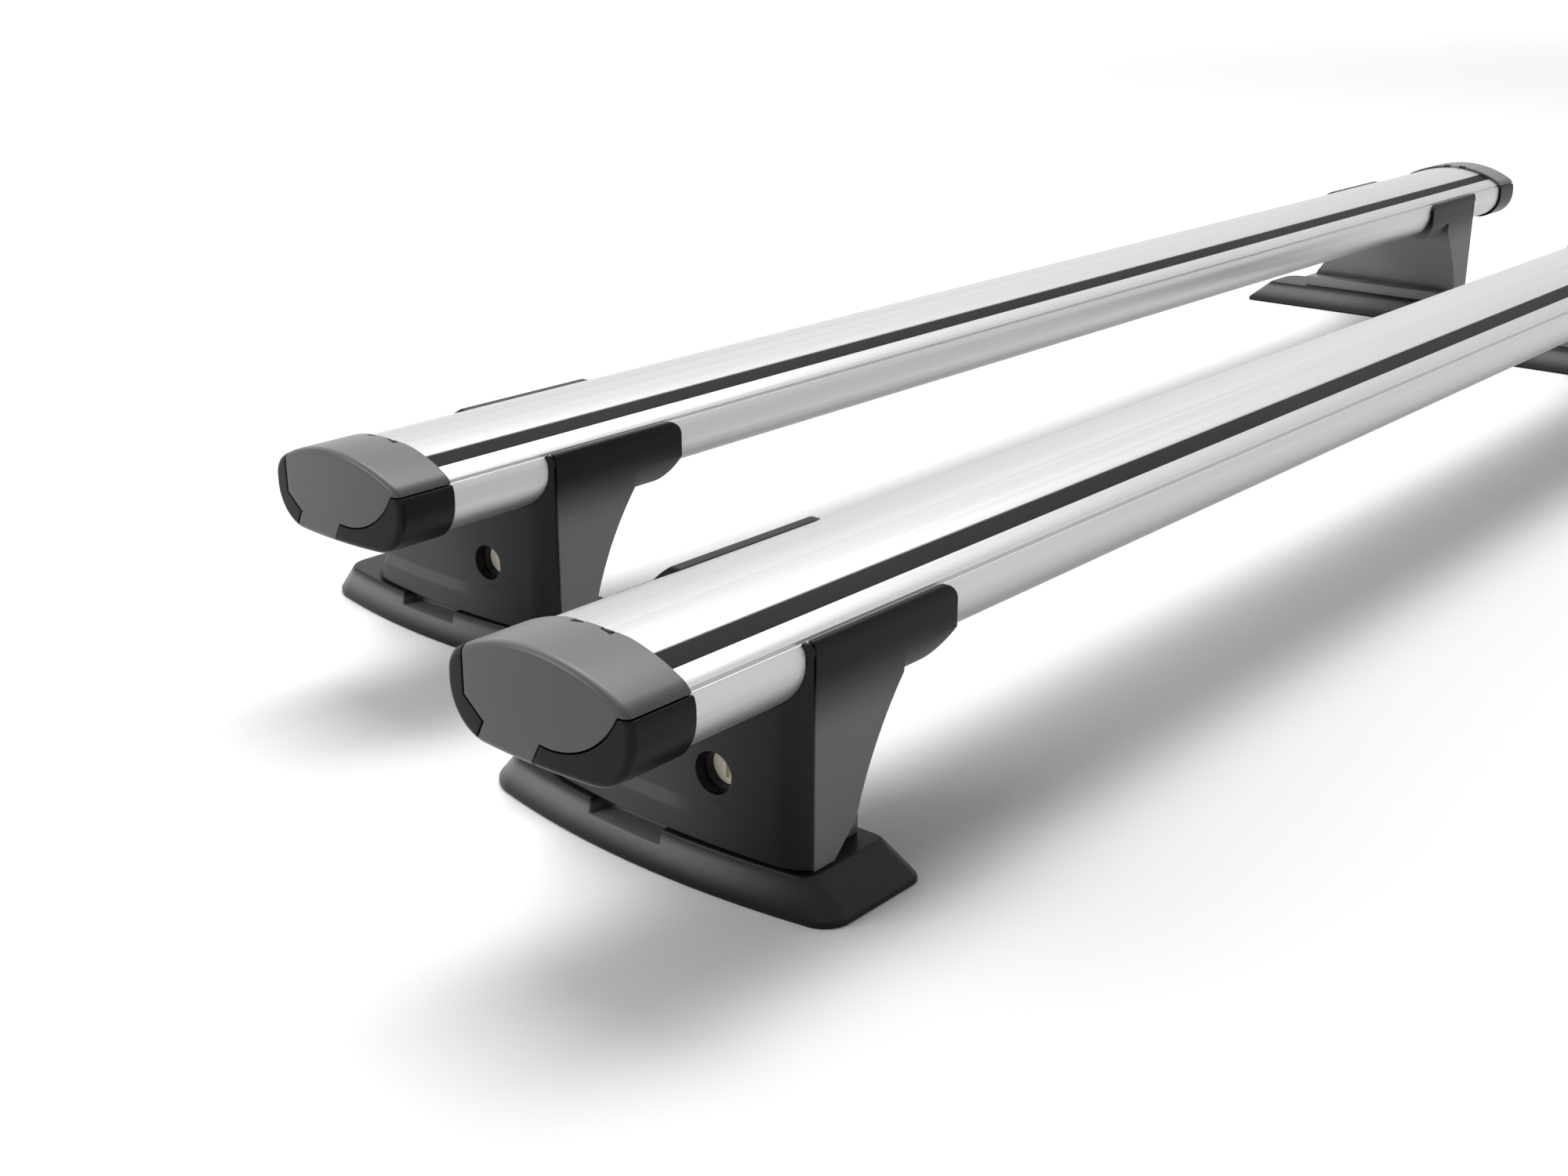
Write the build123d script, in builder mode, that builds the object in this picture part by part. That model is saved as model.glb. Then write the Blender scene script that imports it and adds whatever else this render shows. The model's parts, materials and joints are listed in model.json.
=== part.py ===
from build123d import *
import os
from math import atan2, degrees, sqrt

# Pair of aluminium roof crossbars on four legs, in millimetres.
# X runs along the bars and Z is up. The origin is the middle of the footprint, at roof level.
# Both bars are alike. One end is modelled once, with x counted inboard from the bar's end,
# and copied to the four places where a bar ends.
os.makedirs("parts", exist_ok=True)

# Wing section of the bar, about its nose line
bar_length = 1140.0
bar_width = 82.0
crown_rise = 17.0
belly_drop = 20.5
nose_radius = 9.0
flank_height = 3.0
heel_radius = 17.0
bar_wall = 2.2
nose_height = 97.0
crease_rise = 5.3
groove_depth = 0.8
groove_height = 1.0

# Accessory slot along the top, off centre, and its rubber infill
slot_inset = 14.0
slot_width = 8.5
slot_cavity_width = 16.0
slot_cavity_height = 8.0
slot_cavity_top = 5.5
infill_clearance = 0.12
infill_sink = 0.5
infill_foot = 1.6

# Channel along the underside that takes the legs' clamp plates
channel_width = 22.0
channel_height = 8.0
channel_mouth = 10.0
channel_lip = 2.5

# Screw ports and webs inside the extrusion
port_radius = 2.1
port_wall = 1.8
port_rise = 3.5
far_web_inset = 17.0

# How the pair lies: spacing across, and how far one bar is set along the other
bar_spacing = 232.0
bar_stagger = 100.0

# End cap: a fixed plug with two jaws, and a hinged flap
cap_length = 30.6
cap_proud = 1.8
cap_skin = 2.2
cap_edge = 3.0
face_crown = 1.6
flap_gap = 0.6
rear_gap = 0.4
plate_thickness = 2.0
spigot_length = 10.0
fit_gap = 0.3
tongue_near = 1.2
tongue_far = 28.0
tongue_return = 6.0
tongue_slant = 4.0
shoulder_drop = 13.0
jaw_near_inset = 17.0
jaw_near_drop = 8.8
jaw_far_inset = 7.5
jaw_far_drop = 6.0
split_inset = 4.0
flap_bevel = 1.5
hinge_depth = 2.3
hinge_set_back = 2.6
hinge_barrel_radius = 2.0
hinge_barrel_half = 4.0
hinge_lug_end = 9.0
hinge_play = 0.3
sweep_radius = 4.3
sweep_half = 24.5
pin_radius = 0.8
running_gap = 0.05

# Screws that hold the end plug
cap_screw_radius = 2.0
cap_screw_length = 16.0
cap_screw_head_radius = 3.8
cap_screw_head_height = 2.4

# Leg tower: wings round the bar's noses, and a hollow leg below
tower_front = 57.5
wing_end = 138.5
far_wing_end = 158.0
wing_skin = 2.5
seat_gap = 0.15
chine_drop = 12.0
keel_inset = 5.0
keel_drop = 23.5
rail_rise = 10.0
rail_start = 68.0
wing_top_round = 7.0
wing_tip_round = 12.0
leg_throat = 107.0
throat_drop = 20.0
throat_sag = 2.0
leg_back = 80.5
skin_corner_rise = 12.0
skin_corner_back = 9.0
far_foot_y = 88.0
far_flare_sag = 3.0
leg_wall = 3.0
leg_floor = 4.0
foot_back = 91.0
foot_height = 8.0
foot_near_y = -36.0
foot_far_y = 82.0

# Clamp plate and the screws that hold the leg to the bar
plate_height = 5.0
plate_start = 62.0
plate_end = 126.0
plate_side_gap = 0.5
leg_screw_radius = 3.0
leg_screw_hole = 3.3
leg_screw_places = (70.0, 116.0)
leg_screw_head_radius = 5.3
leg_screw_head_height = 3.3
spot_depth = 0.3
key_gap = 0.2

# Leg cover
seam_gap = 0.8
cover_skin = 2.5
cover_lift = 0.6
cover_apex_x = 48.3
cover_apex_y = 16.0
cover_face_radius = 440.0
cover_near_y = -30.0
cover_far_y = 74.0
key_hole_radius = 8.0
lock_y = -4.0
lock_height = 46.0

# Lock
boss_radius = 10.6
boss_face = 53.5
housing_radius = 9.8
housing_end = 70.0
barrel_radius = 7.0
barrel_face = 56.5
barrel_end = 71.0
keyway_width = 1.6
keyway_height = 9.0
keyway_depth = 4.0
tail_radius = 3.0
tail_end = 74.5
cam_thickness = 2.5
cam_hub_radius = 5.0
cam_half_width = 4.0
cam_reach = 17.0
catch_front = 66.5
catch_back = 70.5
catch_edge_gap = 1.2
catch_half_height = 8.0

# Tension bolt and its cross nut
notch_y = 39.0
tension_height = 48.0
tension_web_front = 66.0
tension_web_back = 70.0
tension_web_half = 11.0
tension_web_rise = 9.0
tension_radius = 3.0
tension_hole = 3.3
tension_head_radius = 5.0
tension_head_height = 6.0
tension_hex = 5.0
tension_hex_depth = 3.0
tension_end = 82.0
trunnion_x = 76.0
trunnion_radius = 5.5
trunnion_half = 8.0

# Rubber foot
pad_top = 17.0
pad_lip = 2.5
pad_near_y = -56.3
pad_far_y = 129.5
pad_apex_x = 43.5
pad_apex_y = 22.0
pad_edge_radius = 400.0
pad_back_x = 103.5
pad_corner_near = 12.0
pad_corner_back = 5.0
pad_corner_far = 22.0
top_inset_front = 3.0
top_inset_back = 8.5
top_near_y = -45.5
top_far_y = 113.0
top_corner_near = 6.0
top_corner_back = 4.0
top_corner_far = 12.0
notch_half = 19.0
notch_floor = 11.0

# Worked out from the sizes above
nose_centre = bar_width / 2 - nose_radius
heel_centre = bar_width / 2 - heel_radius
slot_offset = bar_width / 2 - slot_inset
far_web_y = bar_width / 2 - far_web_inset
side_y = bar_width / 2 + wing_skin
crease_height = nose_height + crease_rise
slot_cavity_floor = slot_cavity_top - slot_cavity_height
channel_floor = channel_lip - belly_drop
channel_top = channel_floor + channel_height
near_port_y = -slot_offset + slot_cavity_width / 2 + bar_wall + port_radius + port_wall / 2
port_places = ((near_port_y, port_rise), (far_web_y, 0.0))
hinge_x = -hinge_set_back
crown_top = nose_height + crown_rise + cap_proud
hinge_height = crown_top - hinge_depth
screw_seat = nose_height - belly_drop - wing_skin + spot_depth
reach = bar_width


def across(x):
    """A plane across the bar at x, its own origin on the bar's nose line."""
    return Plane(origin=(x, 0, nose_height), x_dir=(0, 1, 0), z_dir=(1, 0, 0))


def panel(u0, u1, v0, v1, mode=Mode.ADD):
    """A rectangle given by its sides, drawn in the sketch that is open."""
    with Locations(((u0 + u1) / 2, (v0 + v1) / 2)):
        Rectangle(u1 - u0, v1 - v0, mode=mode)


def wing_section(grow=0.0):
    """The bar's outline: crown arc, nose arcs, upright flanks, heel arcs and an almost flat belly."""

    def tangent_angle(height, radius, centre):
        crest = height - radius
        sink = (centre**2 - crest**2) / (2 * crest)
        return degrees(atan2(sink, centre))

    nose_turn = tangent_angle(crown_rise, nose_radius, nose_centre)
    heel_turn = tangent_angle(belly_drop - flank_height, heel_radius, heel_centre)
    nose, heel = nose_radius + grow, heel_radius + grow
    with BuildSketch() as outline:
        with BuildLine():
            far_nose = CenterArc((nose_centre, 0), nose, 0, nose_turn)
            near_nose = CenterArc((-nose_centre, 0), nose, 180, -nose_turn)
            far_heel = CenterArc((heel_centre, -flank_height), heel, 0, -heel_turn)
            near_heel = CenterArc((-heel_centre, -flank_height), heel, 180, heel_turn)
            Line(far_nose @ 0, far_heel @ 0)
            Line(near_nose @ 0, near_heel @ 0)
            ThreePointArc(near_nose @ 1, (0, crown_rise + grow), far_nose @ 1)
            ThreePointArc(near_heel @ 1, (0, -belly_drop - grow), far_heel @ 1)
        make_face()
    return outline.sketch


def inner_walls(grow=0.0):
    """What stands inside the bar's outer wall: slot block, channel block, webs and screw ports."""
    side = slot_cavity_width / 2 + bar_wall + grow
    channel_side = channel_width / 2 + bar_wall + grow
    web = bar_wall / 2 + grow
    with BuildSketch() as walls:
        panel(-slot_offset - side, -slot_offset + side, slot_cavity_floor - bar_wall - grow, reach)
        panel(-channel_side, channel_side, -reach, channel_top + bar_wall + grow)
        panel(far_web_y - web, far_web_y + web, -reach, reach)
        near_web_y = -slot_offset + slot_cavity_width / 2 + bar_wall / 2
        panel(near_web_y - web, near_web_y + web, -reach, slot_cavity_floor)
        with Locations(*port_places):
            Circle(port_radius + port_wall + grow)
        add(wing_section(-bar_wall / 2), mode=Mode.INTERSECT)
    return walls.sketch


# The aluminium extrusion
groove_y = nose_centre + sqrt(nose_radius**2 - crease_rise**2) - groove_depth
with BuildPart() as crossbar:
    with BuildSketch(across(-bar_length / 2)):
        add(wing_section())
        add(wing_section(-bar_wall), mode=Mode.SUBTRACT)
        add(inner_walls())
        panel(-slot_offset - slot_width / 2, -slot_offset + slot_width / 2, 0, reach, Mode.SUBTRACT)
        panel(
            -slot_offset - slot_cavity_width / 2,
            -slot_offset + slot_cavity_width / 2,
            slot_cavity_floor,
            slot_cavity_top,
            Mode.SUBTRACT,
        )
        panel(-channel_mouth / 2, channel_mouth / 2, -reach, channel_floor, Mode.SUBTRACT)
        panel(-channel_width / 2, channel_width / 2, channel_floor, channel_top, Mode.SUBTRACT)
        for side in (-1, 1):
            edges = sorted((side * groove_y, side * reach))
            low = crease_rise - groove_height / 2
            panel(edges[0], edges[1], low, low + groove_height, Mode.SUBTRACT)
        with Locations(*port_places):
            Circle(port_radius, mode=Mode.SUBTRACT)
    extrude(amount=bar_length)

# The rubber strip pressed into the slot, with a foot that hooks under its lips
with BuildPart() as slot_infill:
    with BuildSketch(across(-bar_length / 2)):
        half = slot_width / 2 - infill_clearance
        foot_half = (slot_width + slot_cavity_width) / 4
        foot_top = slot_cavity_top - infill_clearance
        panel(-slot_offset - half, -slot_offset + half, foot_top - infill_foot, reach)
        panel(-slot_offset - foot_half, -slot_offset + foot_half, foot_top - infill_foot, foot_top)
        add(wing_section(-infill_sink), mode=Mode.INTERSECT)
    extrude(amount=bar_length)


def cap_solid(inset=0.0):
    """The end cap's outer form: the wing section with a crowned face, or its hollow."""
    front = cap_length - inset
    half = bar_width / 2 + wing_skin
    with BuildPart() as body:
        with BuildSketch(across(-front)):
            add(wing_section(cap_proud - inset))
        extrude(amount=front + inset)
        with BuildSketch(Plane.XY.offset(nose_height - reach)):
            with BuildLine():
                rim = ThreePointArc(
                    (face_crown - front, -half), (-front, 0), (face_crown - front, half)
                )
                Polyline(rim @ 1, (inset, half), (inset, -half), rim @ 0)
            make_face()
        extrude(amount=2 * reach, mode=Mode.INTERSECT)
        if inset == 0:
            fillet(body.faces().sort_by(Axis.X)[0].edges(), cap_edge)
    return body.part


def flap_zone(gap=0.0):
    """The part of the section that the flap takes above the jaws, widened by a gap."""
    edge_y = bar_width / 2 - split_inset
    jaw_near_y = bar_width / 2 - jaw_near_inset
    jaw_far_y = bar_width / 2 - jaw_far_inset
    near_end = (tongue_near - tongue_slant, -shoulder_drop)
    far_end = (tongue_far - tongue_slant, -shoulder_drop)
    with BuildSketch() as zone:
        with BuildLine():
            ThreePointArc((-edge_y, crease_rise), (-jaw_near_y, -jaw_near_drop), near_end)
            Polyline(
                near_end,
                far_end,
                (jaw_far_y, -jaw_far_drop),
                (jaw_far_y, reach),
                (-reach, reach),
                (-reach, crease_rise),
                (-edge_y, crease_rise),
            )
        make_face()
        if gap:
            offset(amount=gap)
    return zone.sketch


def tongue_zone(gap=0.0):
    """The tongue that comes down between the jaws, widened by a gap."""
    with BuildSketch() as zone:
        with BuildLine():
            Polyline(
                (tongue_near - tongue_slant, 0),
                (tongue_near - tongue_slant, -shoulder_drop),
                (tongue_near, -belly_drop),
                (tongue_near, -reach),
                (tongue_far, -reach),
                (tongue_far, -belly_drop),
                (tongue_far - tongue_slant, -shoulder_drop),
                (tongue_far - tongue_slant, 0),
                (tongue_near - tongue_slant, 0),
            )
        make_face()
        if gap:
            offset(amount=gap)
    return zone.sketch


# What the bevel along the flap's top rear edge takes off, so that it can turn past the bar
with BuildPart() as crown_bevel:
    with BuildSketch(Plane.XZ):
        with BuildLine():
            Polyline(
                (-rear_gap - 2 * flap_bevel, crown_top + flap_bevel),
                (-rear_gap + flap_bevel, crown_top - 2 * flap_bevel),
                (-rear_gap + flap_bevel, crown_top + flap_bevel),
                (-rear_gap - 2 * flap_bevel, crown_top + flap_bevel),
            )
        make_face()
    extrude(amount=bar_width, both=True)


def hinge_rod(radius, y0, y1, mode=Mode.ADD):
    """A round bar on the flap's hinge line."""
    with BuildSketch(Plane.XZ.offset(-y1)) as rod:
        with Locations((hinge_x, hinge_height)):
            Circle(radius)
    extrude(rod.sketch, amount=y1 - y0, mode=mode)


# The flap: the cap's upper shell and face in one moulding, with its hinge barrel
with BuildPart() as end_flap:
    add(cap_solid())
    add(cap_solid(cap_skin), mode=Mode.SUBTRACT)
    with BuildSketch(across(-cap_length - cap_skin)):
        add(flap_zone())
        add(tongue_zone())
    extrude(amount=cap_length + cap_skin - rear_gap, mode=Mode.INTERSECT)
    with BuildSketch(across(tongue_return - cap_length)):
        panel(tongue_near - cap_skin, tongue_far + cap_skin, -reach, -shoulder_drop)
    extrude(amount=cap_length, mode=Mode.SUBTRACT)
    add(crown_bevel.part, mode=Mode.SUBTRACT)
    hinge_rod(hinge_barrel_radius, -hinge_barrel_half, hinge_barrel_half)
    for lug_y in (-hinge_lug_end - hinge_play, hinge_barrel_half):
        hinge_rod(
            hinge_barrel_radius + hinge_play,
            lug_y,
            lug_y + hinge_lug_end + hinge_play - hinge_barrel_half,
            Mode.SUBTRACT,
        )
        with BuildSketch(Plane.XY.offset(hinge_height - reach)):
            lug_top = lug_y + hinge_lug_end + hinge_play - hinge_barrel_half
            panel(hinge_x, cap_skin, lug_y, lug_top)
        extrude(amount=2 * reach, mode=Mode.SUBTRACT)
    hinge_rod(pin_radius + running_gap, -hinge_lug_end, hinge_lug_end, Mode.SUBTRACT)

# The flap's hinge pin
with BuildPart() as flap_pin:
    hinge_rod(pin_radius, -hinge_lug_end, hinge_lug_end)


def lower_section():
    """The section below the flap, drawn in a little from the cap's skin."""
    with BuildSketch() as lower:
        add(wing_section(cap_proud - cap_skin / 2))
        add(flap_zone(flap_gap), mode=Mode.SUBTRACT)
    return lower.sketch


# The plug: jaws, closing plate, spigot inside the bar and two hinge lugs
with BuildPart() as end_plug:
    add(cap_solid())
    add(cap_solid(cap_skin), mode=Mode.SUBTRACT)
    with BuildSketch(across(-cap_length - cap_skin)):
        add(flap_zone(flap_gap))
    extrude(amount=cap_length + 2 * cap_skin, mode=Mode.SUBTRACT)
    with BuildSketch(across(-cap_length - cap_skin)):
        add(tongue_zone(flap_gap))
    extrude(amount=cap_skin + tongue_return + flap_gap, mode=Mode.SUBTRACT)
    with BuildSketch(across(-plate_thickness)):
        add(wing_section(cap_proud - cap_skin - flap_gap))
        add(lower_section())
        panel(
            -slot_offset - slot_cavity_width / 2 - fit_gap,
            -slot_offset + slot_cavity_width / 2 + fit_gap,
            slot_cavity_floor - fit_gap,
            reach,
            Mode.SUBTRACT,
        )
    extrude(amount=plate_thickness)
    with BuildSketch(across(-plate_thickness)):
        add(wing_section(-bar_wall - fit_gap))
        add(inner_walls(fit_gap), mode=Mode.SUBTRACT)
        spigot_near = -slot_offset + slot_cavity_width / 2 + bar_wall
        panel(spigot_near, bar_width / 2 - nose_radius, -reach, reach, Mode.INTERSECT)
    extrude(amount=plate_thickness + spigot_length)
    barrel_space = hinge_barrel_half + hinge_play
    hinge_rod(sweep_radius, -barrel_space, barrel_space, Mode.SUBTRACT)
    hinge_rod(sweep_radius, hinge_lug_end, sweep_half, Mode.SUBTRACT)
    hinge_rod(sweep_radius, -sweep_half, -hinge_lug_end, Mode.SUBTRACT)
    for lug_y in (-hinge_lug_end, hinge_barrel_half + hinge_play):
        lug_top = lug_y + hinge_lug_end - hinge_barrel_half - hinge_play
        hinge_rod(hinge_barrel_radius, lug_y, lug_top)
        with BuildSketch(Plane.XZ.offset(-lug_top)):
            block_top = hinge_height - hinge_play
            panel(hinge_x, 0, block_top - hinge_barrel_radius, block_top)
        extrude(amount=lug_top - lug_y)
    hinge_rod(pin_radius + running_gap, -hinge_lug_end, hinge_lug_end, Mode.SUBTRACT)
    with BuildSketch(across(-plate_thickness)):
        with Locations(*port_places):
            Circle(cap_screw_radius + fit_gap)
    extrude(amount=plate_thickness, mode=Mode.SUBTRACT)

# The two screws that hold a plug, driven into the bar's ports
with BuildPart() as cap_screws:
    with BuildSketch(across(-plate_thickness)):
        with Locations(*port_places):
            Circle(cap_screw_radius)
    extrude(amount=cap_screw_length)
    with BuildSketch(across(-plate_thickness)):
        with Locations(*port_places):
            Circle(cap_screw_head_radius)
    extrude(amount=-cap_screw_head_height)
    fillet(cap_screws.faces().sort_by(Axis.X)[:2].edges(), cap_screw_head_height / 3)


def leg_outline(inset=0.0):
    """The leg seen along the bar: it hugs the noses, drops straight on the slot side and flares
    out on the other."""
    foot = pad_top - nose_height
    with BuildSketch() as outline:
        with BuildLine():
            start = (side_y - inset, -chine_drop)
            end = (far_foot_y - inset, foot)
            middle = (
                (start[0] + end[0]) / 2 - far_flare_sag,
                (start[1] + end[1]) / 2 - far_flare_sag,
            )
            flare = ThreePointArc(start, middle, end)
            Polyline(
                flare @ 1,
                (inset - side_y, foot),
                (inset - side_y, 0),
                (side_y - inset, 0),
                flare @ 0,
            )
        make_face()
        add(wing_section(wing_skin - inset))
        panel(-reach, 2 * reach, -nose_height, crease_rise - inset, Mode.INTERSECT)
        add(wing_section(seat_gap + inset), mode=Mode.SUBTRACT)
    return outline.sketch


def wing_outline(y0, y1, rise):
    """One half of the cradle round the bar: thin where it ends, with a chine below the nose."""
    keel_half = bar_width / 2 - keel_inset
    with BuildSketch() as outline:
        add(wing_section(wing_skin))
        with BuildLine():
            Polyline(
                (-side_y, 0),
                (-side_y, -chine_drop),
                (-keel_half, -keel_drop),
                (keel_half, -keel_drop),
                (side_y, -chine_drop),
                (side_y, 0),
                (-side_y, 0),
            )
        make_face()
        panel(y0, y1, -reach, rise, Mode.INTERSECT)
        add(wing_section(seat_gap), mode=Mode.SUBTRACT)
    return outline.sketch


def wing(y0, y1, rise, end):
    """One wing along the bar, its inboard end rounded from the side."""
    with BuildPart() as cradle:
        with BuildSketch(across(tower_front)):
            add(wing_outline(y0, y1, rise))
        extrude(amount=end - tower_front)
        with BuildSketch(Plane.XZ) as side:
            panel(tower_front, end, nose_height - keel_drop, nose_height + rise)
            tips = side.vertices().group_by(Axis.X)[-1].sort_by(Axis.Y)
            fillet(tips[0], wing_tip_round)
            tips = side.vertices().group_by(Axis.Y)[-1].sort_by(Axis.X)
            fillet(tips[-1], wing_top_round)
        extrude(amount=reach, both=True, mode=Mode.INTERSECT)
    return cradle.part


def side_profile():
    """The leg from the side, x inboard and z up: upright front, throat that sweeps to the wing."""
    throat_z = nose_height - throat_drop
    knee_z = pad_top + skin_corner_rise
    mid_x = (leg_throat + leg_back) / 2 - throat_sag
    mid_z = (throat_z + knee_z) / 2 + throat_sag
    with BuildSketch() as profile:
        with BuildLine():
            throat = ThreePointArc((leg_throat, throat_z), (mid_x, mid_z), (leg_back, knee_z))
            Polyline(
                throat @ 1,
                (leg_back - skin_corner_back, pad_top + leg_wall),
                (leg_back - skin_corner_back - leg_wall, pad_top),
                (tower_front, pad_top),
                (tower_front, crease_height),
                (leg_throat, crease_height),
                throat @ 0,
            )
        make_face()
    return profile.sketch


# The hollow inside the leg: side profile and outline, both drawn in by the wall
with BuildPart() as leg_hollow:
    with BuildSketch(Plane.XZ):
        add(side_profile())
        offset(amount=-leg_wall, mode=Mode.REPLACE)
        panel(tower_front - leg_wall, tower_front + 2 * leg_wall, pad_top, crease_height)
        panel(0, reach * 2, pad_top + leg_floor, screw_seat, Mode.INTERSECT)
    extrude(amount=2 * reach, both=True)
    with BuildSketch(across(0)):
        add(leg_outline(leg_wall))
    extrude(amount=2 * reach, mode=Mode.INTERSECT)

# The wings: the near one ends at the crease, the far one is longer and stands up as a rail
with BuildPart() as wings:
    add(wing(-reach, 0, crease_rise, wing_end))
    add(wing(0, reach, rail_rise, far_wing_end))
    with BuildSketch(Plane.XZ):
        with BuildLine():
            Polyline(
                (tower_front, crease_height),
                (rail_start, crease_height),
                (rail_start + rail_rise - crease_rise, nose_height + rail_rise),
                (tower_front, nose_height + rail_rise),
                (tower_front, crease_height),
            )
        make_face()
    extrude(amount=reach, both=True, mode=Mode.SUBTRACT)

# The leg tower: hollow leg, wings, foot flange, and the webs for the tension bolt and the lock
with BuildPart() as leg_tower:
    with BuildSketch(across(tower_front)):
        add(leg_outline())
    extrude(amount=reach)
    with BuildSketch(Plane.XZ):
        add(side_profile())
    extrude(amount=2 * reach, both=True, mode=Mode.INTERSECT)
    add(leg_hollow.part, mode=Mode.SUBTRACT)
    add(wings.part)
    with BuildSketch(Plane.XY.offset(pad_top)):
        panel(leg_back - skin_corner_back, foot_back, foot_near_y, foot_far_y)
    extrude(amount=foot_height)
    with BuildSketch(Plane.XZ.offset(-notch_y - tension_web_half)):
        web_top = tension_height + tension_web_rise
        panel(tension_web_front, tension_web_back, pad_top + leg_floor / 2, web_top)
    extrude(amount=2 * tension_web_half)
    catch_y = lock_y - boss_radius - catch_edge_gap
    with BuildSketch(Plane.XZ.offset(-catch_y)):
        low, high = lock_height - catch_half_height, lock_height + catch_half_height
        panel(catch_front, catch_back, low, high)
    extrude(amount=catch_y + side_y - leg_wall / 2)
    with BuildSketch(across(tension_web_front)):
        with Locations((notch_y, tension_height - nose_height)):
            Circle(tension_hole)
    extrude(amount=tension_web_back - tension_web_front, mode=Mode.SUBTRACT)
    with BuildSketch(Plane.XY.offset(nose_height - belly_drop - wing_skin)):
        key_half = channel_mouth / 2 - key_gap
        panel(plate_start, plate_end, -key_half, key_half)
    extrude(amount=wing_skin + channel_lip - key_gap)
    with BuildSketch(Plane.XY.offset(screw_seat)):
        with Locations(*[(x, 0) for x in leg_screw_places]):
            Circle(leg_screw_hole)
    extrude(amount=belly_drop, mode=Mode.SUBTRACT)
    with BuildSketch(Plane.XY.offset(screw_seat)):
        with Locations(*[(x, 0) for x in leg_screw_places]):
            Circle(leg_screw_head_radius + fit_gap)
    extrude(amount=-2 * wing_skin, mode=Mode.SUBTRACT)

# The threaded plate in the bar's underside channel
plate_floor = nose_height + channel_floor
with BuildPart() as clamp_plate:
    with BuildSketch(Plane.XY.offset(plate_floor)):
        half = channel_width / 2 - plate_side_gap
        panel(plate_start, plate_end, -half, half)
    extrude(amount=plate_height)
    chamfer(clamp_plate.edges().filter_by(Axis.Z), plate_side_gap * 2)
    with BuildSketch(Plane.XY.offset(plate_floor)):
        with Locations(*[(x, 0) for x in leg_screw_places]):
            Circle(leg_screw_radius + running_gap)
    extrude(amount=plate_height, mode=Mode.SUBTRACT)

# The screws up through the wings into the plate
with BuildPart() as leg_screws:
    with BuildSketch(Plane.XY.offset(screw_seat)):
        with Locations(*[(x, 0) for x in leg_screw_places]):
            Circle(leg_screw_radius)
    extrude(amount=plate_floor + plate_height - screw_seat)
    with BuildSketch(Plane.XY.offset(screw_seat)):
        with Locations(*[(x, 0) for x in leg_screw_places]):
            Circle(leg_screw_head_radius)
    extrude(amount=-leg_screw_head_height)
    fillet(leg_screws.faces().sort_by(Axis.Z)[:2].edges(), leg_screw_head_height / 2)

# The leg cover: a thin shell with a bowed face, hooked round the bar's noses
cover_floor = pad_top + cover_lift
cover_back = tower_front - seam_gap


def cover_face(y):
    """A point of the cover's bowed face, seen from above."""
    bow = sqrt(cover_face_radius**2 - (y - cover_apex_y) ** 2)
    return cover_apex_x + cover_face_radius - bow, y


def cover_plan(inset=0.0):
    """The cover from above, drawn on inboard of its back: a bowed face and two turned-in corners."""
    face_middle = (cover_apex_x, cover_apex_y)
    with BuildSketch() as plan:
        with BuildLine():
            face = ThreePointArc(cover_face(cover_far_y), face_middle, cover_face(cover_near_y))
            near = TangentArc(face @ 1, (cover_back, -side_y), tangent=face % 1)
            far = TangentArc(face @ 0, (cover_back, far_foot_y), tangent=face % 0 * -1)
            Polyline(near @ 1, (leg_back, -side_y), (leg_back, far_foot_y), far @ 1)
        make_face()
        if inset:
            offset(amount=-inset)
    return plan.sketch


with BuildPart() as cover_hollow:
    with BuildSketch(Plane.XY.offset(pad_top)):
        add(cover_plan(cover_skin))
    extrude(amount=crease_height - pad_top - cover_skin)
    with BuildSketch(across(0)):
        add(leg_outline(cover_skin))
    extrude(amount=reach, mode=Mode.INTERSECT)

with BuildPart() as leg_cover:
    with BuildSketch(across(0)):
        add(leg_outline())
    extrude(amount=cover_back)
    with BuildSketch(Plane.XY.offset(cover_floor)):
        add(cover_plan())
    extrude(amount=crease_height - cover_floor, mode=Mode.INTERSECT)
    add(cover_hollow.part, mode=Mode.SUBTRACT)
    with BuildSketch(across(boss_face)):
        with Locations((lock_y, lock_height - nose_height)):
            Circle(boss_radius)
    extrude(amount=cover_apex_x + cover_skin / 2 - boss_face)
    with BuildSketch(across(0)):
        with Locations((lock_y, lock_height - nose_height)):
            Circle(key_hole_radius)
    extrude(amount=boss_face, mode=Mode.SUBTRACT)

# The lock: sleeve, barrel with its keyway and tail, and the cam on the tail
with BuildPart() as lock_housing:
    with BuildSketch(across(boss_face)):
        with Locations((lock_y, lock_height - nose_height)):
            Circle(housing_radius)
            Circle(barrel_radius + running_gap, mode=Mode.SUBTRACT)
    extrude(amount=housing_end - boss_face)

with BuildPart() as lock_cylinder:
    with BuildSketch(across(barrel_face)):
        with Locations((lock_y, lock_height - nose_height)):
            Circle(barrel_radius)
    extrude(amount=barrel_end - barrel_face)
    fillet(lock_cylinder.faces().sort_by(Axis.X)[0].edges(), keyway_width / 4)
    with BuildSketch(across(barrel_end)):
        with Locations((lock_y, lock_height - nose_height)):
            Circle(tail_radius)
    extrude(amount=tail_end - barrel_end)
    with BuildSketch(across(barrel_face)):
        with Locations((lock_y, lock_height - nose_height)):
            Rectangle(keyway_width, keyway_height)
    extrude(amount=keyway_depth, mode=Mode.SUBTRACT)

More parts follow.
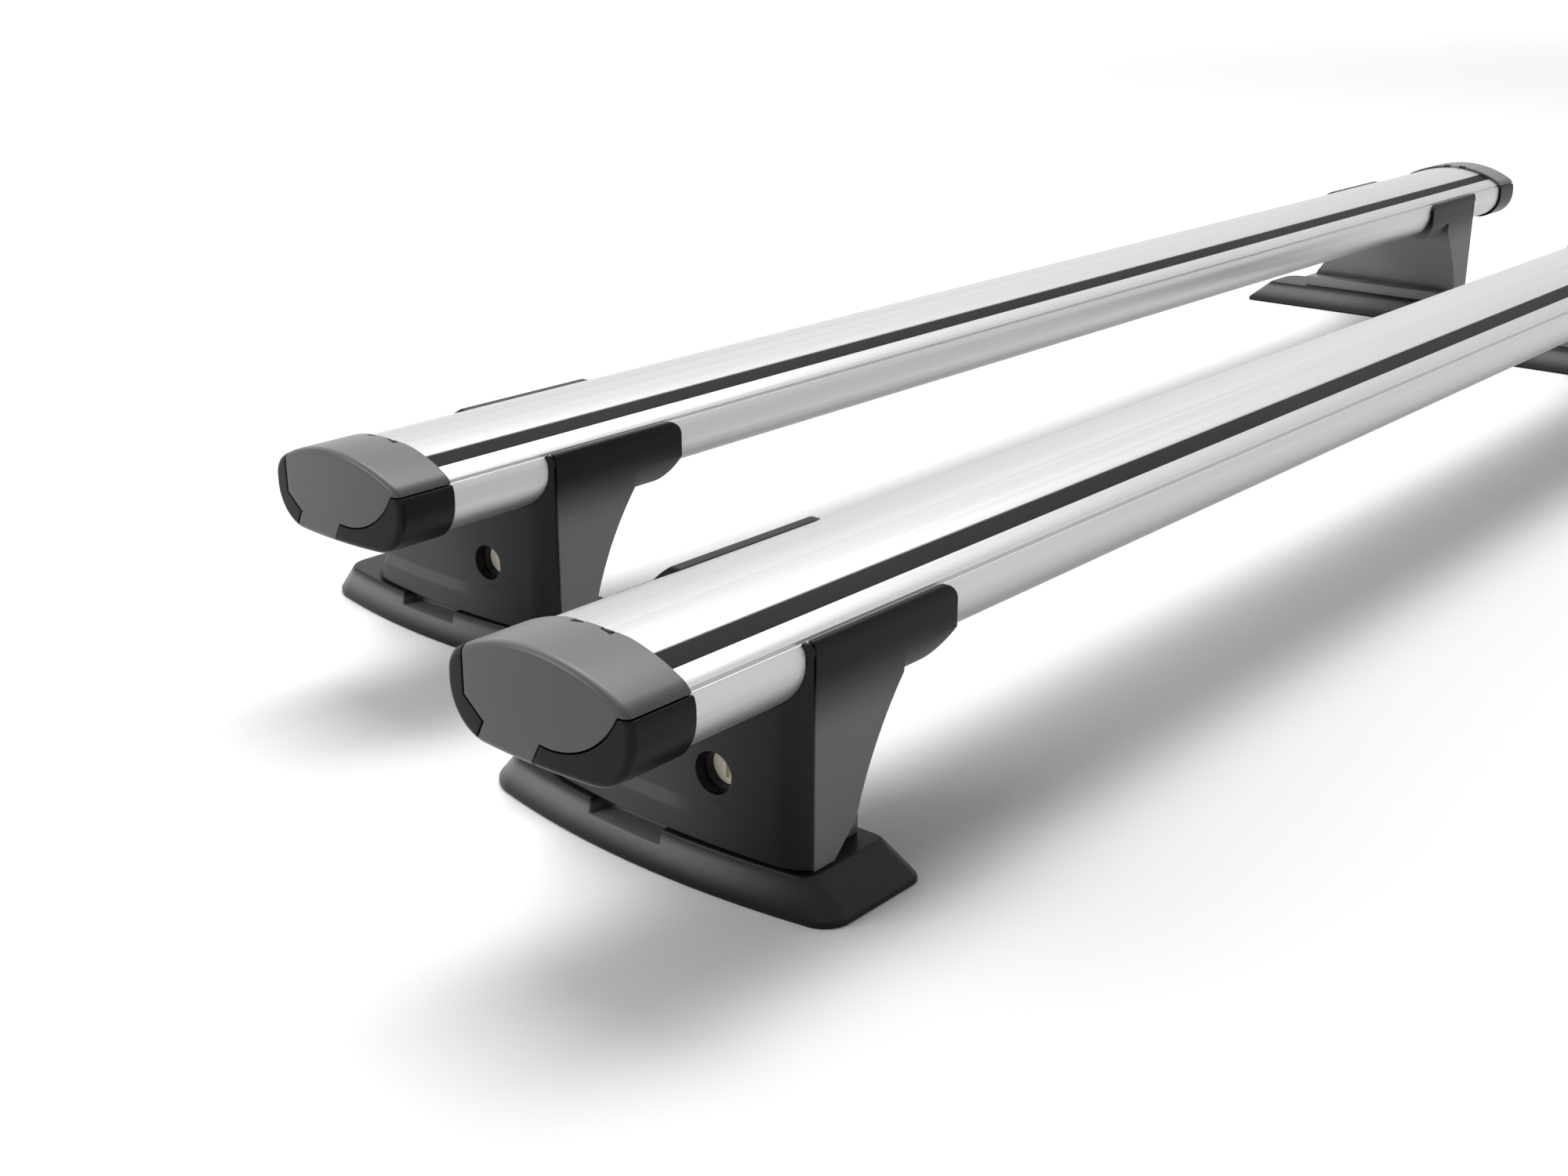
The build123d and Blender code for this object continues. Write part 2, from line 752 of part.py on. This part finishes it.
with BuildPart() as lock_cam:
    with BuildSketch(across(barrel_end)):
        with Locations((lock_y, lock_height - nose_height)):
            Circle(cam_hub_radius)
        cam_z = lock_height - nose_height - cam_reach + cam_half_width
        panel(lock_y - cam_half_width, lock_y + cam_half_width, cam_z, lock_height - nose_height)
        with Locations((lock_y, cam_z)):
            Circle(cam_half_width)
        with Locations((lock_y, lock_height - nose_height)):
            Circle(tail_radius + running_gap, mode=Mode.SUBTRACT)
    extrude(amount=cam_thickness)

# The tension bolt, with its hex socket facing outboard, and its cross nut
with BuildPart() as tension_bolt:
    with BuildSketch(across(tension_web_front)):
        with Locations((notch_y, tension_height - nose_height)):
            Circle(tension_radius)
    extrude(amount=tension_end - tension_web_front)
    with BuildSketch(across(tension_web_front)):
        with Locations((notch_y, tension_height - nose_height)):
            Circle(tension_head_radius)
    extrude(amount=-tension_head_height)
    with BuildSketch(across(tension_web_front - tension_head_height)):
        with Locations((notch_y, tension_height - nose_height)):
            RegularPolygon(tension_hex / 2, 6, major_radius=False)
    extrude(amount=tension_hex_depth, mode=Mode.SUBTRACT)

with BuildPart() as trunnion_nut:
    with BuildSketch(Plane.XZ.offset(-notch_y)):
        with Locations((trunnion_x, tension_height)):
            Circle(trunnion_radius)
    extrude(amount=trunnion_half, both=True)
    with BuildSketch(across(trunnion_x)):
        with Locations((notch_y, tension_height - nose_height)):
            Circle(tension_radius + running_gap)
    extrude(amount=2 * trunnion_radius, both=True, mode=Mode.SUBTRACT)


def pad_outline(front, near, far, back, radii):
    """The foot from above: a bowed outboard edge, straight ends and rounded corners."""
    def edge_x(y):
        return front + (y - pad_apex_y) ** 2 / (2 * pad_edge_radius)

    corners = ((edge_x(near), near), (back, near), (back, far), (edge_x(far), far))
    with BuildSketch() as plan:
        with BuildLine():
            ThreePointArc(corners[3], (front, pad_apex_y), corners[0])
            Polyline(*corners)
        make_face()
        for place, radius in zip(corners, radii):
            fillet(plan.vertices().sort_by_distance(place)[0], radius)
    return plan.sketch


# The rubber foot: a thin lip, sloping skirts, and a dip in front where the roof clamp comes out
base_radii = (pad_corner_near, pad_corner_back, pad_corner_back, pad_corner_far)
top_radii = (top_corner_near, top_corner_back, top_corner_back, top_corner_far)
with BuildPart() as base_pad:
    with BuildSketch():
        add(pad_outline(pad_apex_x, pad_near_y, pad_far_y, pad_back_x, base_radii))
    extrude(amount=pad_lip)
    with BuildSketch(Plane.XY.offset(pad_lip)):
        add(pad_outline(pad_apex_x, pad_near_y, pad_far_y, pad_back_x, base_radii))
    with BuildSketch(Plane.XY.offset(pad_top)):
        top_front = pad_apex_x + top_inset_front
        top_back = pad_back_x - top_inset_back
        add(pad_outline(top_front, top_near_y, top_far_y, top_back, top_radii))
    loft()
    with BuildSketch(Plane.XY.offset(notch_floor)):
        panel(0, tower_front, notch_y - notch_half, notch_y + notch_half)
    extrude(amount=pad_top, mode=Mode.SUBTRACT)


# The pair, put together: each bar with its own pieces, and an end of each kind at both ends
pad_middle = (pad_near_y + pad_far_y) / 2
bars = {
    "front": (-bar_stagger / 2, -bar_spacing / 2 - pad_middle),
    "rear": (bar_stagger / 2, bar_spacing / 2 - pad_middle),
}
end_pieces = {
    "end_plug": end_plug,
    "end_flap": end_flap,
    "flap_pin": flap_pin,
    "leg_tower": leg_tower,
    "leg_cover": leg_cover,
    "base_pad": base_pad,
    "clamp_plate": clamp_plate,
    "tension_bolt": tension_bolt,
    "trunnion_nut": trunnion_nut,
    "lock_housing": lock_housing,
    "lock_cylinder": lock_cylinder,
    "lock_cam": lock_cam,
}


def at_left(piece, x, y):
    """A piece of the left end, moved from the bar end's frame to its place."""
    return piece.moved(Location((x - bar_length / 2, y, 0)))


def at_right(piece, x, y):
    """The same piece mirrored for the right end."""
    turned = mirror(piece, about=Plane.YZ, mode=Mode.PRIVATE)
    return turned.moved(Location((x + bar_length / 2, y, 0)))


def write(piece, name):
    """Name one node's solids and write them."""
    piece.label = name
    export_step(piece, f"parts/{name}.step")


for bar_name, (bar_x, bar_y) in bars.items():
    for name, piece in (("crossbar", crossbar), ("slot_infill", slot_infill)):
        write(piece.part.moved(Location((bar_x, bar_y, 0))), f"{bar_name}_{name}")
    for name, piece in (("cap_screws", cap_screws), ("leg_screws", leg_screws)):
        pair = [at_left(piece.part, bar_x, bar_y), at_right(piece.part, bar_x, bar_y)]
        solids = [solid for half in pair for solid in half.solids()]
        write(Compound(children=solids), f"{bar_name}_{name}")
    for name, piece in end_pieces.items():
        write(at_left(piece.part, bar_x, bar_y), f"{bar_name}_left_{name}")
        write(at_right(piece.part, bar_x, bar_y), f"{bar_name}_right_{name}")
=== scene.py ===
import bmesh
import bpy
import json
from math import cos, radians, sin
from mathutils import Matrix, Vector


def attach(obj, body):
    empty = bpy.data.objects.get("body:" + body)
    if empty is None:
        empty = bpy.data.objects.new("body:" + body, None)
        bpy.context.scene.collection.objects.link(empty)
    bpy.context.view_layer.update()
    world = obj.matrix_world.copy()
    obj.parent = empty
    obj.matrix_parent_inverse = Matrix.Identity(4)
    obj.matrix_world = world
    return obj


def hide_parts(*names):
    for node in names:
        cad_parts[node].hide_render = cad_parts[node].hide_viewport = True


# The pair of roof crossbars comes in as packed: two wing bars, each on two legs with a rubber
# foot. Everything below dresses it, in metres, with X along the bars and Z up.
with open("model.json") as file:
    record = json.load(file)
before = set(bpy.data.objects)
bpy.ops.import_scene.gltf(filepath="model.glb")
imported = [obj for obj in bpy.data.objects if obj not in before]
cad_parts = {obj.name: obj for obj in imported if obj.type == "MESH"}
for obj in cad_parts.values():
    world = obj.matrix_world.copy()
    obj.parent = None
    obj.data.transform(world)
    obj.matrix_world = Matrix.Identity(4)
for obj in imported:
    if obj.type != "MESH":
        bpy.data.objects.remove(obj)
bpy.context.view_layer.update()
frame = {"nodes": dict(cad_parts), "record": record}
nodes = frame["nodes"]
groups = frame["record"]["behaviour"]["bodies"].items()
carriers = {node: body for body, group in groups for node in group}
bars = ("front", "rear")
ends = [f"{bar}_{side}" for bar in bars for side in ("left", "right")]
scene = bpy.context.scene
scene.view_settings.view_transform = "Standard"

# The camera stands beside the front bar's left end, a little above it, and looks along the
# pair and down. Its place, angles and focal length were worked out from the photograph.
eye = Vector((-1.0282, -0.5798, 0.3387))
turn, dip = 0.707, 0.345
sensor_width, focal_pixels, picture_pixels = 36, 2489, 2000
ahead = Vector((cos(dip) * cos(turn), cos(dip) * sin(turn), -sin(dip)))
right = Vector((sin(turn), -cos(turn), 0))
above = right.cross(ahead)
camera = bpy.data.objects.new("camera", bpy.data.cameras.new("camera"))
camera.data.lens = sensor_width * focal_pixels / picture_pixels
camera.data.clip_start = 0.01
camera.matrix_world = Matrix.Translation(eye) @ Matrix((right, above, -ahead)).transposed().to_4x4()
scene.collection.objects.link(camera)
scene.camera = camera

# The room is a white cyclorama. As a light it is bright behind the bars, a little brighter
# overhead and dim on the photographer's side. Where it is seen or mirrored it is plain white.
# Two soft boxes add to it, a large one overhead and a smaller one beyond the left ends.
dim, behind, overhead = 0.11, 0.55, 0.06
world = bpy.data.worlds.new("studio")
world.use_nodes = True
world.node_tree.nodes["Background"].inputs["Color"].default_value = (1, 1, 1, 1)
scene.world = world


class Wire:
    """A socket in a node tree. Sums written on it add Math nodes."""

    def __init__(self, tree, socket=None):
        self.tree = tree
        self.socket = socket

    def node(self, kind, values=None, output=0, **settings):
        """Any other node: its settings first, then the values or wires of its sockets."""
        made = self.tree.nodes.new("ShaderNode" + kind)
        for name, setting in settings.items():
            setattr(made, name, setting)
        for place, value in (values or {}).items():
            if isinstance(value, Wire):
                self.tree.links.new(value.socket, made.inputs[place])
            else:
                made.inputs[place].default_value = value
        return Wire(self.tree, made.outputs[output])

    def maths(self, operation, first, second=0.0):
        return self.node("Math", {0: first, 1: second}, operation=operation)

    def __add__(self, other):
        return self.maths("ADD", self, other)

    def __sub__(self, other):
        return self.maths("SUBTRACT", self, other)

    def __mul__(self, other):
        return self.maths("MULTIPLY", self, other)

    def __rsub__(self, other):
        return self.maths("SUBTRACT", other, self)

    __radd__ = __add__
    __rmul__ = __mul__

    def between(self, low, high):
        """0 below low, 1 above high and smooth between them."""
        return self.node("MapRange", {0: self, 1: low, 2: high}, interpolation_type="SMOOTHSTEP")

    def blend(self, first, second):
        """Two colours, mixed by this wire: the first at 0, the second at 1."""
        shades = [shade if isinstance(shade, Wire) else (*shade, 1) for shade in (first, second)]
        return self.node("Mix", {0: self, 6: shades[0], 7: shades[1]}, output=2, data_type="RGBA")

    def part(self, output):
        """Another output of the node that this wire leaves."""
        return Wire(self.tree, self.socket.node.outputs[output])

    def into(self, place):
        """Lead the wire into the tree's main shader."""
        shader = next(n for n in self.tree.nodes if n.type in ("BSDF_PRINCIPLED", "BACKGROUND"))
        self.tree.links.new(self.socket, shader.inputs[place])


def looked_at(wires):
    """1 for what is seen straight, mirrored or seen through, 0 for what only gives light."""
    ray = wires.node("LightPath")
    return (ray + ray.part("Is Glossy Ray") + ray.part("Is Transmission Ray")).between(0.0, 1.0)


sky = Wire(world.node_tree)
axes = sky.node("SeparateXYZ", {0: sky.node("TexCoord", output="Generated")})
back_light = axes.part("Y").between(-0.30, 0.40)
top_light = axes.part("Z").between(0.55, 0.95)
backdrop = looked_at(sky)
studio = dim + behind * back_light + overhead * top_light
(studio * (1.0 - backdrop) + backdrop).into("Strength")


def softbox(name, place, target, width, depth, watts):
    """A rectangular lamp that faces its target and isn't seen itself."""
    lamp = bpy.data.lights.new(name, "AREA")
    lamp.shape = "RECTANGLE"
    lamp.size, lamp.size_y = width, depth
    lamp.energy = watts
    holder = bpy.data.objects.new(name, lamp)
    holder.location = place
    facing = Vector(target) - Vector(place)
    holder.rotation_euler = facing.to_track_quat("-Z", "Y").to_euler()
    holder.visible_camera = False
    scene.collection.objects.link(holder)


softbox("overhead", (0.25, 0.50, 2.3), (0.0, 0.0, 0.0), width=2.0, depth=1.0, watts=46)
softbox("left_box", (-2.3, 1.1, 1.2), (-0.55, -0.1, 0.02), width=1.3, depth=0.7, watts=20)

# The floor is a wide white paper sweep. It keeps the soft shadows under the bars. Away from
# them, a little at first and then more, it is lifted to white where it is seen or mirrored.
reach = 14
near_lift, far_lift, along_share = 0.28, 0.50, 0.55
corners = [(-reach, -reach, 0), (reach, -reach, 0), (reach, reach, 0), (-reach, reach, 0)]
floor_mesh = bpy.data.meshes.new("floor")
floor_mesh.from_pydata(corners, [], [(0, 1, 2, 3)])
floor = bpy.data.objects.new("floor", floor_mesh)
scene.collection.objects.link(floor)


def new_finish(name, **constants):
    """A material whose plain numbers sit on the shader's own sockets."""
    made = bpy.data.materials.new(name)
    made.use_nodes = True
    shader = made.node_tree.nodes["Principled BSDF"]
    for socket, value in constants.items():
        shader.inputs[socket.replace("_", " ")].default_value = value
    return made


white_sweep = new_finish("white_sweep", Roughness=0.9, Emission_Strength=1.0)
sweep = Wire(white_sweep.node_tree)
place = sweep.node("TexCoord", output="Object")
paper = sweep.node("TexNoise", {"Vector": place, "Scale": 3.0, "Detail": 3.0})
paper.blend((0.94, 0.94, 0.94), (0.96, 0.96, 0.96)).into("Base Color")
oval = sweep.node("VectorMath", {0: place, 1: (along_share, 1, 1)}, operation="MULTIPLY")
away = sweep.node("VectorMath", {0: oval}, output="Value", operation="LENGTH")
lift = near_lift * away.between(0.38, 0.72) + far_lift * away.between(1.0, 4.0)
(lift * looked_at(sweep)).blend((0, 0, 0), (1, 1, 1)).into("Emission Color")
floor_mesh.materials.append(white_sweep)

# The crossbars are wing-section aluminium extrusions, satin clear-anodised: almost white, with
# fine lines from the die all along them. They are sawn to length, and the end caps close them.
die_lines = (1.2, 700.0, 700.0)
anodised = new_finish("anodised", Metallic=1.0)
metal = Wire(anodised.node_tree)
along = metal.node("Mapping", {0: metal.node("TexCoord", output="Object"), 3: die_lines})
lines = metal.node("TexNoise", {"Vector": along, "Scale": 1.0, "Detail": 2.0})
lines.between(0.3, 0.7).blend((0.54, 0.536, 0.532), (0.58, 0.58, 0.576)).into("Base Color")
(0.38 + 0.08 * lines).into("Roughness")
metal.node("Bump", {"Strength": 0.05, "Distance": 0.0002, "Height": lines}).into("Normal")


def softened(node, name, finish, edge):
    """A piece that stands for a packed one: the same form with its hard edges eased."""
    welded, flat, hard_turn, sharp_turn = 0.00001, radians(0.05), radians(35), radians(32)
    form = bmesh.new()
    form.from_mesh(nodes[node].data)
    bmesh.ops.remove_doubles(form, verts=form.verts, dist=welded)
    bmesh.ops.dissolve_limit(form, angle_limit=flat, verts=form.verts, edges=form.edges)
    hard = [e for e in form.edges if e.is_manifold and e.calc_face_angle() > hard_turn]
    bmesh.ops.bevel(form, geom=hard, offset=edge, segments=2, profile=0.5, affect="EDGES")
    bmesh.ops.triangulate(form, faces=[f for f in form.faces if len(f.verts) > 4])
    for face in form.faces:
        face.smooth = True
    mesh = bpy.data.meshes.new(name)
    form.to_mesh(mesh)
    form.free()
    mesh.set_sharp_from_angle(angle=sharp_turn)
    mesh.materials.append(finish)
    piece = bpy.data.objects.new(name, mesh)
    scene.collection.objects.link(piece)
    piece.modifiers.new("flat_faces", "WEIGHTED_NORMAL").keep_sharp = True
    settled = piece.evaluated_get(bpy.context.evaluated_depsgraph_get())
    piece.data = bpy.data.meshes.new_from_object(settled)
    piece.modifiers.clear()
    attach(piece, carriers[node])
    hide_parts(node)


for bar in bars:
    softened(f"{bar}_crossbar", f"{bar}_bar", anodised, edge=0.0003)

# The slot infill is a strip of black-brown rubber as long as its bar. It is pressed into the
# bar's slot, where it sits a little below the crown.
infill_dark, infill_light = (0.014, 0.012, 0.011), (0.019, 0.017, 0.016)


def grained(name, dark, light, roughness, grain, gloss):
    """Moulded plastic or rubber: two close shades and a fine spark-eroded grain. Its wires
    and its shade come back with it, for a section that lays more colour over them."""
    made = new_finish(name, Specular_IOR_Level=gloss)
    skin = Wire(made.node_tree)
    place = skin.node("TexCoord", output="Object")
    cloud = skin.node("TexNoise", {"Vector": place, "Scale": 9.0, "Detail": 4.0})
    shade = cloud.between(0.3, 0.7).blend(dark, light)
    shade.into("Base Color")
    dots = skin.node("TexNoise", {"Vector": place, "Scale": grain, "Detail": 2.0})
    (roughness + 0.06 * dots).into("Roughness")
    skin.node("Bump", {"Strength": 0.03, "Distance": 0.0002, "Height": dots}).into("Normal")
    return made, skin, shade


infill_rubber = grained("infill_rubber", infill_dark, infill_light, 0.55, grain=1500.0, gloss=0.1)[0]
for bar in bars:
    softened(f"{bar}_slot_infill", f"{bar}_slot_strip", infill_rubber, edge=0.0003)

# The end caps are moulded in dark grey plastic: a fixed plug with two glossier jaws, and a
# matt flap hinged on a steel pin along its top rear edge. Two steel screws under the flap
# hold the plug.
flap_dark, flap_light = (0.058, 0.056, 0.055), (0.068, 0.065, 0.064)
flap_top_painted_light = (0.16, 0.153, 0.15)
jaw_dark, jaw_light = (0.006, 0.006, 0.006), (0.009, 0.009, 0.009)
cap_plastic, skin, shade = grained("cap_plastic", flap_dark, flap_light, 0.34, grain=1800.0, gloss=0.4)
# Painted light: the flap's faces that look upwards are lighter than its front.
upward = skin.node("SeparateXYZ", {0: skin.node("TexCoord", output="Normal")}).part("Z")
upward.between(0.55, 1.0).blend(shade, flap_top_painted_light).into("Base Color")
jaw_plastic = grained("jaw_plastic", jaw_dark, jaw_light, 0.26, grain=1800.0, gloss=0.12)[0]
zinc_steel = new_finish("zinc_steel", Metallic=1.0, Roughness=0.35, Base_Color=(0.55, 0.55, 0.55, 1))


def dress(node, finish):
    """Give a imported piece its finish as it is."""
    mesh = nodes[node].data
    mesh.materials.clear()
    mesh.materials.append(finish)


for end in ends:
    softened(f"{end}_end_plug", f"{end}_cap_jaws", jaw_plastic, edge=0.0004)
    softened(f"{end}_end_flap", f"{end}_cap_flap", cap_plastic, edge=0.0004)
    dress(f"{end}_flap_pin", zinc_steel)
for bar in bars:
    dress(f"{bar}_cap_screws", zinc_steel)

# The legs are moulded in satin black plastic. Their colour carries painted light and shade,
# lighter on the body and near black on the wings. Each cradles its bar with a wing along either
# side and is screwed from below to a steel plate in the bar's channel.
leg_body_painted_light, leg_wing_painted_shade = (0.200, 0.197, 0.197), (0.003, 0.003, 0.003)
body_top, wing_height = 0.064, 0.092
leg_plastic = new_finish("leg_plastic", Specular_IOR_Level=0.12)
leg = Wire(leg_plastic.node_tree)
place = leg.node("TexCoord", output="Object")
height = leg.node("SeparateXYZ", {0: place}).part("Z")
# Painted light and shade by height: the body lighter, the wings darker.
height.between(body_top, wing_height).blend(leg_body_painted_light, leg_wing_painted_shade).into("Base Color")
dots = leg.node("TexNoise", {"Vector": place, "Scale": 1800.0, "Detail": 2.0})
(0.30 + 0.10 * dots).into("Roughness")
leg.node("Bump", {"Strength": 0.08, "Distance": 0.0002, "Height": dots}).into("Normal")
for end in ends:
    softened(f"{end}_leg_tower", f"{end}_leg", leg_plastic, edge=0.0006)
    dress(f"{end}_clamp_plate", zinc_steel)
for bar in bars:
    dress(f"{bar}_leg_screws", zinc_steel)

# The covers are thin shells of black plastic that slide off outboard once they are unlocked.
# Their colour carries painted shade on the near corner, a faint painted highlight in a band low
# on the far side, a small darker oval below the key hole, and painted shade inside the hole.
cover_dark, cover_light = (0.030, 0.029, 0.029), (0.038, 0.036, 0.036)
corner_painted_shade, low_band_painted_highlight = (0.004, 0.004, 0.004), (0.10, 0.097, 0.096)
mark_middle, mark_height, mark_black = -0.010, 0.035, (0.010, 0.010, 0.010)
mark_narrow, mark_flat = 140.0, 700.0
hole_middle, hole_height, hole_painted_shade = -0.004, 0.046, (0.002, 0.002, 0.002)
hole_square, rim_square = 0.0000655, 0.0000705


def on_the_leg(skin):
    """How far a point lies behind the middle line of its own bar, and how high up."""
    front_middle, nearest, farthest = -0.1526, -0.1, 0.132
    spot = skin.node("SeparateXYZ", {0: skin.node("TexCoord", output="Object")})
    limits = {0: spot.part("Y") - front_middle, 1: farthest, 2: nearest}
    return skin.node("Math", limits, operation="WRAP"), spot.part("Z")


cover_plastic, skin, shade = grained("cover_plastic", cover_dark, cover_light, 0.33, grain=1800.0, gloss=0.2)
beside, height = on_the_leg(skin)
# Painted shade: the cover darkens towards its near corner.
shade = beside.between(-0.038, 0.035).blend(corner_painted_shade, shade)
# A painted highlight: a lighter band low on the far side of the cover.
low_band_highlight_mask = beside.between(0.005, 0.020) * height.between(0.026, 0.028)
low_band_highlight_mask = low_band_highlight_mask * (1.0 - height.between(0.032, 0.034))
shade = (0.5 * low_band_highlight_mask).blend(shade, low_band_painted_highlight)
across, up = mark_narrow * (beside - mark_middle), mark_flat * (height - mark_height)
shade = (across * across + up * up).between(0.7, 1.2).blend(mark_black, shade)
# Painted shade inside the key hole, on its wall.
across, up = beside - hole_middle, height - hole_height
shade = (across * across + up * up).between(hole_square, rim_square).blend(hole_painted_shade, shade)
shade.into("Base Color")
for end in ends:
    softened(f"{end}_leg_cover", f"{end}_cover_shell", cover_plastic, edge=0.0005)

# Each lock is a pale brass barrel that turns in a blackened zinc sleeve, deep in the cover's
# round hole. The steel cam behind it catches on the leg and so holds the cover.
lock_brass = new_finish("lock_brass", Roughness=0.4, Base_Color=(1.0, 0.92, 0.74, 1))
black_zinc = new_finish("black_zinc", Metallic=0.5, Roughness=0.5, Base_Color=(0.02, 0.02, 0.02, 1))
for end in ends:
    softened(f"{end}_lock_cylinder", f"{end}_lock_barrel", lock_brass, edge=0.0002)
    dress(f"{end}_lock_housing", black_zinc)
    dress(f"{end}_lock_cam", zinc_steel)

# The feet are black rubber mouldings that stand under the legs on the roof. A painted highlight
# runs round them as a lighter band a little above the roof, fading into painted shade near the corner.
foot_highlight_dark, foot_highlight_light = (0.130, 0.125, 0.121), (0.155, 0.149, 0.145)
foot_black = (0.008, 0.008, 0.008)
foot_rubber, skin, shade = grained("foot_rubber", foot_highlight_dark, foot_highlight_light, 0.34, grain=1200.0, gloss=0.2)
beside, height = on_the_leg(skin)
# Painted highlight in a band round the foot, fading to painted shade towards the near corner.
foot_highlight_band = height.between(0.002, 0.011) * (1.0 - height.between(0.0125, 0.0165))
(foot_highlight_band * beside.between(-0.056, 0.015)).blend(foot_black, shade).into("Base Color")
for end in ends:
    softened(f"{end}_base_pad", f"{end}_foot", foot_rubber, edge=0.0008)

# A bolt behind each cover draws the roof clamp up by the round cross nut on its thread. Both
# are turned from steel and zinc-plated.
for end in ends:
    dress(f"{end}_tension_bolt", zinc_steel)
    dress(f"{end}_trunnion_nut", zinc_steel)
